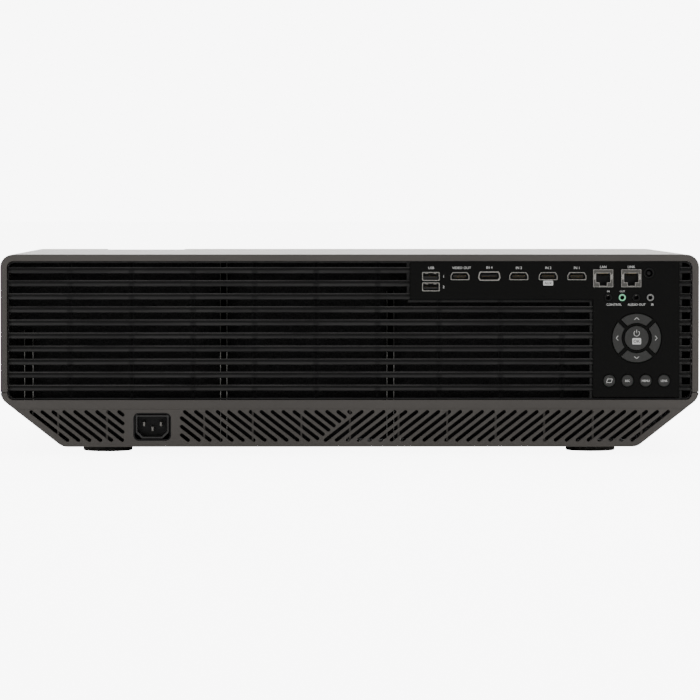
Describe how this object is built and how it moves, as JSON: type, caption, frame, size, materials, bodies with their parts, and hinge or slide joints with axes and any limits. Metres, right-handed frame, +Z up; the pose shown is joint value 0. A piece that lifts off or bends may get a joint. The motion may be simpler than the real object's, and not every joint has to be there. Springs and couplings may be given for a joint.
{
  "type": "home projector",
  "caption": "Wide home projector with louvred ends, a connector and keypad plate, slanting slots, a powered lens and screw feet.",
  "frame": {"origin": "centre of the footprint, on the table surface under the feet", "axes": "+Z up; +Y the way the lens throws, so the connector panel faces -Y; +X to the right when looking at the connector panel"},
  "size_m": [0.576, 0.43, 0.1646],
  "materials": {
    "case_grey": "fine matt texture",
    "case_pale": "fine matt texture",
    "grille_black": "satin",
    "plate_black": "matt",
    "key_grey": "satin",
    "jack_black": "satin",
    "lens_black": "anodised, satin",
    "fan_black": "satin",
    "foot_rubber": "matt",
    "foam_grey": "open foam",
    "board_green": "satin lacquer",
    "gear_ivory": "satin",
    "nickel": "bright",
    "pin_metal": "bright",
    "steel": "turned",
    "bracket_steel": "plated sheet",
    "cast_alloy": "die cast",
    "fin_alloy": "extruded",
    "pipe_copper": "copper",
    "phosphor": "ceramic coat",
    "lens_glass": "coated"
  },
  "bodies": {
    "case": {"lower_case": "case_grey", "upper_cover": "case_pale", "service_cover": "case_pale", "rear_bezel": "case_grey", "front_bezel": "case_grey", "rear_grille": "grille_black", "front_grille": "grille_black", "io_plate": "plate_black", "lens_surround": "plate_black", "air_filter": "foam_grey", "rear_filter": "foam_grey", "io_board": "board_green", "usb_sockets": "nickel", "video_sockets": "nickel", "display_socket": "nickel", "network_sockets": "nickel", "round_jacks": "jack_black", "mains_inlet": "jack_black", "mains_pins": "pin_metal", "engine_housing": "cast_alloy", "laser_module": "cast_alloy", "heat_sink": "fin_alloy", "heat_pipes": "pipe_copper", "shift_base": "cast_alloy", "shift_screw_x": "steel", "fan_frames": "fan_black", "power_supply": "board_green", "main_board": "board_green", "speakers": "fan_black", "support_brackets": "bracket_steel", "case_screws": "steel", "rear_feet": "foot_rubber"},
    "ok_key": {"ok_key": "key_grey"},
    "up_key": {"up_key": "key_grey"},
    "down_key": {"down_key": "key_grey"},
    "left_key": {"left_key": "key_grey"},
    "right_key": {"right_key": "key_grey"},
    "keystone_key": {"keystone_key": "key_grey"},
    "escape_key": {"escape_key": "key_grey"},
    "menu_key": {"menu_key": "key_grey"},
    "lens_key": {"lens_key": "key_grey"},
    "filter_door": {"filter_door": "case_pale"},
    "phosphor_wheel": {"phosphor_wheel": "phosphor"},
    "fan_rotor_left": {"fan_rotor_left": "fan_black"},
    "fan_rotor_right": {"fan_rotor_right": "fan_black"},
    "shift_carriage_x": {"shift_carriage_x": "cast_alloy", "shift_screw_z": "steel"},
    "lens": {"shift_carriage_z": "cast_alloy", "lens_barrel": "lens_black", "lens_motors": "steel"},
    "zoom_ring": {"zoom_ring": "lens_black"},
    "focus_ring": {"focus_ring": "lens_black"},
    "zoom_pinion": {"zoom_pinion": "gear_ivory"},
    "focus_pinion": {"focus_pinion": "gear_ivory"},
    "focus_barrel": {"focus_barrel": "lens_black", "front_lens": "lens_glass"},
    "foot_left": {"foot_stud_left": "steel", "foot_pad_left": "foot_rubber"},
    "foot_right": {"foot_stud_right": "steel", "foot_pad_right": "foot_rubber"}
  },
  "joints": [
    {"name": "ok_key_press", "type": "slide", "parent": "case", "child": "ok_key", "axis": [0, 1, 0], "range_m": [0, 0.0008], "stiffness_N_per_m": 300, "springref_m": -0.0004},
    {"name": "up_key_press", "type": "slide", "parent": "case", "child": "up_key", "axis": [0, 1, 0], "range_m": [0, 0.0008], "stiffness_N_per_m": 300, "springref_m": -0.0004},
    {"name": "down_key_press", "type": "slide", "parent": "case", "child": "down_key", "axis": [0, 1, 0], "range_m": [0, 0.0008], "stiffness_N_per_m": 300, "springref_m": -0.0004},
    {"name": "left_key_press", "type": "slide", "parent": "case", "child": "left_key", "axis": [0, 1, 0], "range_m": [0, 0.0008], "stiffness_N_per_m": 300, "springref_m": -0.0004},
    {"name": "right_key_press", "type": "slide", "parent": "case", "child": "right_key", "axis": [0, 1, 0], "range_m": [0, 0.0008], "stiffness_N_per_m": 300, "springref_m": -0.0004},
    {"name": "keystone_key_press", "type": "slide", "parent": "case", "child": "keystone_key", "axis": [0, 1, 0], "range_m": [0, 0.0008], "stiffness_N_per_m": 300, "springref_m": -0.0004},
    {"name": "escape_key_press", "type": "slide", "parent": "case", "child": "escape_key", "axis": [0, 1, 0], "range_m": [0, 0.0008], "stiffness_N_per_m": 300, "springref_m": -0.0004},
    {"name": "menu_key_press", "type": "slide", "parent": "case", "child": "menu_key", "axis": [0, 1, 0], "range_m": [0, 0.0008], "stiffness_N_per_m": 300, "springref_m": -0.0004},
    {"name": "lens_key_press", "type": "slide", "parent": "case", "child": "lens_key", "axis": [0, 1, 0], "range_m": [0, 0.0008], "stiffness_N_per_m": 300, "springref_m": -0.0004},
    {"name": "filter_door_swing", "type": "hinge", "parent": "case", "child": "filter_door", "pos_m": [0.28675, 0.03, 0.06955], "axis": [0, 1, 0], "range_deg": [0, 85]},
    {"name": "phosphor_wheel_spin", "type": "hinge", "parent": "case", "child": "phosphor_wheel", "pos_m": [-0.15, 0.01, 0.096], "axis": [0, 1, 0], "continuous": true},
    {"name": "fan_left_spin", "type": "hinge", "parent": "case", "child": "fan_rotor_left", "pos_m": [0.0864, 0.177, 0.1018], "axis": [0, 1, 0], "continuous": true},
    {"name": "fan_right_spin", "type": "hinge", "parent": "case", "child": "fan_rotor_right", "pos_m": [0.1964, 0.177, 0.1018], "axis": [0, 1, 0], "continuous": true},
    {"name": "shift_x_slide", "type": "slide", "parent": "case", "child": "shift_carriage_x", "axis": [1, 0, 0], "range_m": [-0.009, 0.009]},
    {"name": "shift_z_slide", "type": "slide", "parent": "shift_carriage_x", "child": "lens", "axis": [0, 0, 1], "range_m": [-0.01, 0.01]},
    {"name": "zoom_ring_turn", "type": "hinge", "parent": "lens", "child": "zoom_ring", "pos_m": [-0.182, 0.144, 0.1018], "axis": [0, 1, 0], "range_deg": [-30, 30]},
    {"name": "zoom_pinion_turn", "type": "hinge", "parent": "lens", "child": "zoom_pinion", "pos_m": [-0.15245, 0.144, 0.06398], "axis": [0, 1, 0], "range_deg": [-211, 211]},
    {"name": "focus_ring_turn", "type": "hinge", "parent": "lens", "child": "focus_ring", "pos_m": [-0.182, 0.162, 0.1018], "axis": [0, 1, 0], "range_deg": [-45, 45]},
    {"name": "focus_pinion_turn", "type": "hinge", "parent": "lens", "child": "focus_pinion", "pos_m": [-0.15245, 0.162, 0.06398], "axis": [0, 1, 0], "range_deg": [-316, 316]},
    {"name": "focus_slide", "type": "slide", "parent": "lens", "child": "focus_barrel", "axis": [0, 1, 0], "range_m": [-0.00251, 0.00251]},
    {"name": "foot_left_travel", "type": "slide", "parent": "case", "child": "foot_left", "axis": [0, 0, -1], "range_m": [0, 0.012]},
    {"name": "foot_right_travel", "type": "slide", "parent": "case", "child": "foot_right", "axis": [0, 0, -1], "range_m": [0, 0.012]}
  ],
  "couplings": [
    {"joint": "zoom_pinion_turn", "follows": "zoom_ring_turn", "ratio": -7},
    {"joint": "focus_pinion_turn", "follows": "focus_ring_turn", "ratio": -7},
    {"joint": "focus_slide", "follows": "focus_ring_turn", "m_per_rad": 0.0031831}
  ]
}
